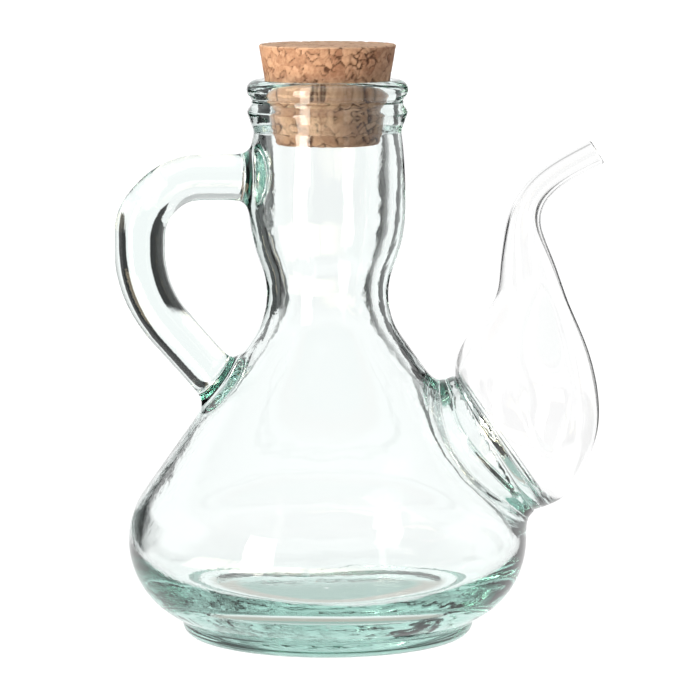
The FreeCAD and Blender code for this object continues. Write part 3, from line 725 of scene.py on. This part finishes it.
def glowing(name):
    """A self-lit surface whose light is the mesh's colour attribute called glow."""
    material, tree, add = node_material(name)
    output = add("ShaderNodeOutputMaterial")
    light = add("ShaderNodeEmission")
    level = add("ShaderNodeAttribute", attribute_name="glow")
    tree.links.new(level.outputs["Color"], light.inputs["Color"])
    tree.links.new(light.outputs["Emission"], output.inputs["Surface"])
    return material


def place_piece(mesh, node):
    """Make an object of a finished mesh and hang it on the part in the node's stead."""
    piece = bpy.data.objects.new(mesh.name, mesh)
    bpy.context.scene.collection.objects.link(piece)
    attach(piece, "root")
    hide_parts(node)
    return piece


def quad_mesh(name, points, quads, material, normals=None):
    """Smooth-shaded mesh of points in millimetres and quads, with its own normals if given."""
    mesh = bpy.data.meshes.new(name)
    mesh.vertices.add(len(points))
    mesh.vertices.foreach_set("co", (points * MM).astype(np.float32).ravel())
    mesh.loops.add(quads.size)
    mesh.loops.foreach_set("vertex_index", quads.astype(np.int32).ravel())
    mesh.polygons.add(len(quads))
    mesh.polygons.foreach_set("loop_start", np.arange(0, quads.size, 4, dtype=np.int32))
    mesh.update(calc_edges=True)
    mesh.polygons.foreach_set("use_smooth", np.ones(len(quads), bool))
    mesh.validate()
    if normals is not None:
        mesh.normals_split_custom_set_from_vertices(normals.tolist())
    mesh.materials.append(material)
    return mesh


def set_measure(mesh, label, values):
    """Give each point of a mesh one number under the given attribute name."""
    measure = mesh.attributes.new(label, "FLOAT", "POINT")
    measure.data.foreach_set("value", values.astype(np.float32))


def grid_lines(low, high, fine):
    """Grid lines from low to high, finer within the given (start, end, pitch) stretches."""
    coarse = 1.35
    marks = [low]
    while marks[-1] < high:
        pitch = min([coarse] + [step for start, end, step in fine if start <= marks[-1] < end])
        marks.append(marks[-1] + pitch)
    return np.array(marks)


def make_bottle():
    """The green glass, on a grid that is finer across the neck and at the foot and lip."""
    spare, below_foot = 2.5, -1.95
    neck = [(-27, 27, 1.08)]
    foot_and_lip = [(-3, 9, 0.75), (145, 200, 0.58)]
    low, high = BOTTLE_LOW - spare, BOTTLE_HIGH + spare
    across = grid_lines(low[0], high[0], neck)
    deep = grid_lines(low[1], high[1], neck)
    up = grid_lines(below_foot, high[2], foot_and_lip)
    points, normals, quads = surface_of(glass_field, (across, deep, up))
    points = np.clip(points, BOTTLE_LOW, BOTTLE_HIGH)
    material = glass("green glass", GREEN_TINT, GREEN_DEPTH, chilled=True)
    mesh = quad_mesh("blown_bottle", points, quads, material, normals)

    x, y, z = points.T
    on_floor = (z < 16) & (z > 6) & (np.hypot(x, y) < RIDGE_RADIUS)
    on_neck_or_handle = (z > 85) | (x < -30)
    chill = 0.06 + 0.45 * on_floor * far_left(x, y, 0.2) + 0.12 * on_neck_or_handle
    set_measure(mesh, "chill", chill)
    return place_piece(mesh, "bottle")


def make_spout():
    """The clear blown bulb and its drawn tube."""
    points, quads = spout_shell()
    mesh = quad_mesh("drawn_spout", points, quads, glass("clear glass", CLEAR_TINT, CLEAR_DEPTH))
    return place_piece(mesh, "spout")


def make_cork():
    """The pitted stopper, with its grain, and painted light on its tone, as two attributes."""
    points, faces, tone_and_painted_light, seam = pressed_cork()
    mesh = bpy.data.meshes.new("cork_stopper")
    mesh.from_pydata((points * MM).tolist(), [], faces)
    mesh.polygons.foreach_set("use_smooth", np.ones(len(mesh.polygons), bool))
    set_measure(mesh, "crumb_tone_and_painted_light", tone_and_painted_light)
    set_measure(mesh, "seam_depth", seam)
    mesh.materials.append(cork_material())
    return place_piece(mesh, "cork")


def make_camera():
    """A long lens a little above the bottle, looking slightly down."""
    camera = bpy.data.cameras.new("view")
    camera.sensor_width = SENSOR
    camera.lens = LENS
    camera.clip_start, camera.clip_end = 0.05, 20
    holder = bpy.data.objects.new("view", camera)
    holder.location = CAMERA_PLACE
    holder.rotation_euler = (math.radians(90 - CAMERA_DROP), 0, 0)
    bpy.context.scene.collection.objects.link(holder)
    bpy.context.scene.camera = holder
    return holder


def stage_object(name, points, faces, glow, label):
    """A self-lit stage mesh; glow has each point's red, green, blue and a fourth number."""
    mesh = bpy.data.meshes.new(name)
    mesh.from_pydata(points.tolist(), [], faces)
    colours = mesh.attributes.new("glow", "FLOAT_COLOR", "POINT")
    colours.data.foreach_set("color", glow.astype(np.float32).ravel())
    mesh.materials.append(glowing(label))
    made = bpy.data.objects.new(name, mesh)
    bpy.context.scene.collection.objects.link(made)
    return made


def make_studio(camera):
    """A white floor and a round glowing wall whose dark stretches draw the glass's edges.

    The camera sees the white floor and the white world alone; the wall, with its table and
    ceiling, shows only in and through the glass. It turns about Z with the camera, so each view
    has the same light from the same side. Every row of the wall is a ring given by its radius,
    height and colours. The table under the bottle holds a painted shadow, teal in the middle as
    if lit through the green glass.
    """
    turn = np.linspace(-180, 180, STUDIO_COLUMNS, endpoint=False)
    angle = np.radians(turn)
    ring = np.stack([np.sin(angle), np.cos(angle)], 1)

    def light(steps):
        level, warmth = (np.interp(turn, steps[:, 0], steps[:, k])[:, None] for k in (1, 2))
        return level * (1 - warmth * WARM_LACK)

    def level_ring(radius, height):
        return np.column_stack([ring * radius, np.full(STUDIO_COLUMNS, height)])

    cards, panes = light(WALL_GLOW), light(REFLECTOR)
    white = np.full_like(cards, SEEN_WHITE)
    teal, grey = (np.zeros_like(white) + colour for colour in (PAINTED_SHADOW_TEAL, PAINTED_SHADOW_GREY))
    nearest_cards = np.where(turn < 0, LEFT_CARDS, RIGHT_CARDS)[:, None]
    straight_behind = np.abs(turn)[:, None] < SWEEP_BACK_ANGLE

    def table(radius):
        """The white sweep, a little wider than the view, the cards beside it, panes in front."""
        x, y = (ring * radius).T[:, :, None]
        half_view = SWEEP_SLOPE * (y - CAMERA_PLACE[1]) + SWEEP_MARGIN
        swept = (np.abs(x) < half_view) & (y > SWEEP_FRONT) | straight_behind
        swept |= (radius < nearest_cards) & (y > CARDS_FRONT)
        in_front = (y < 0) & (REFLECTOR_NEAR < radius < REFLECTOR_FAR)
        return radius, 0, np.where(swept, white, np.where(in_front, panes, cards))

    low_cards = (turn > -100) & (turn < 16) | (turn > 38) & (turn < 100)
    above = np.where(low_cards[:, None], OPEN_WALL_GLOW * white, cards)
    # Painted shadow on the table under the bottle: teal in the middle, then grey, then white table
    rows = [(HUB, 0, teal), (PAINTED_SHADOW_RADIUS * 0.78, 0, teal), (PAINTED_SHADOW_RADIUS * 0.88, 0, grey),
            (PAINTED_SHADOW_RADIUS, 0, grey), (PAINTED_SHADOW_RADIUS * 1.08, 0, white), (TABLE_RADIUS, 0, white)]
    rows += [table(radius) for radius in TABLE_RINGS]
    rows += [(STUDIO_RADIUS, FLAG_HEIGHT, cards),
             (STUDIO_RADIUS, FLAG_HEIGHT * FLAG_EDGE, above),
             (STUDIO_RADIUS, TALL_FLAG, above),
             (STUDIO_RADIUS, WALL_TOP, HIGH_WALL_GLOW * white),
             (STUDIO_RADIUS, STUDIO_HEIGHT, HIGH_WALL_GLOW * white),
             (CEILING_EDGE, STUDIO_HEIGHT, CEILING_RING_GLOW * white),
             (CEILING_LIGHT, STUDIO_HEIGHT, CEILING_GLOW * white),
             (HUB, STUDIO_HEIGHT, CEILING_GLOW * white)]
    points = np.concatenate([level_ring(radius, height - WALL_DROP) for radius, height, _ in rows])
    glow = np.concatenate([colour for _, _, colour in rows])
    wall = stage_object("studio_lights_and_painted_shadow", points, tube_quads(len(rows), STUDIO_COLUMNS).tolist(),
                        np.column_stack([glow, np.ones(len(glow))]), "studio lights and painted shadow")
    wall.visible_camera = False

    floor = stage_object("floor", level_ring(STUDIO_RADIUS, -FLOOR_DROP),
                         [list(range(STUDIO_COLUMNS))[::-1]],
                         np.full((STUDIO_COLUMNS, 4), BACK_LIGHT), "white floor")
    floor.visible_diffuse = floor.visible_glossy = floor.visible_transmission = False

    follow = wall.constraints.new("LOCKED_TRACK")
    follow.target = camera
    follow.track_axis = "TRACK_NEGATIVE_Y"
    follow.lock_axis = "LOCK_Z"

    world = bpy.data.worlds.new("studio air")
    world.use_nodes = True
    world.node_tree.nodes["Background"].inputs["Color"].default_value = (1, 1, 1, 1)
    world.node_tree.nodes["Background"].inputs["Strength"].default_value = BACK_LIGHT
    bpy.context.scene.world = world


make_studio(make_camera())
make_bottle()
make_spout()
make_cork()

scene = bpy.context.scene
scene.view_settings.view_transform = "Standard"
scene.view_settings.look = "None"
scene.cycles.max_bounces = 32
scene.cycles.transmission_bounces = 32
scene.cycles.glossy_bounces = 12
scene.cycles.volume_bounces = 2
scene.cycles.transparent_max_bounces = 16
scene.cycles.caustics_refractive = True
scene.cycles.caustics_reflective = True

bpy.context.view_layer.update()
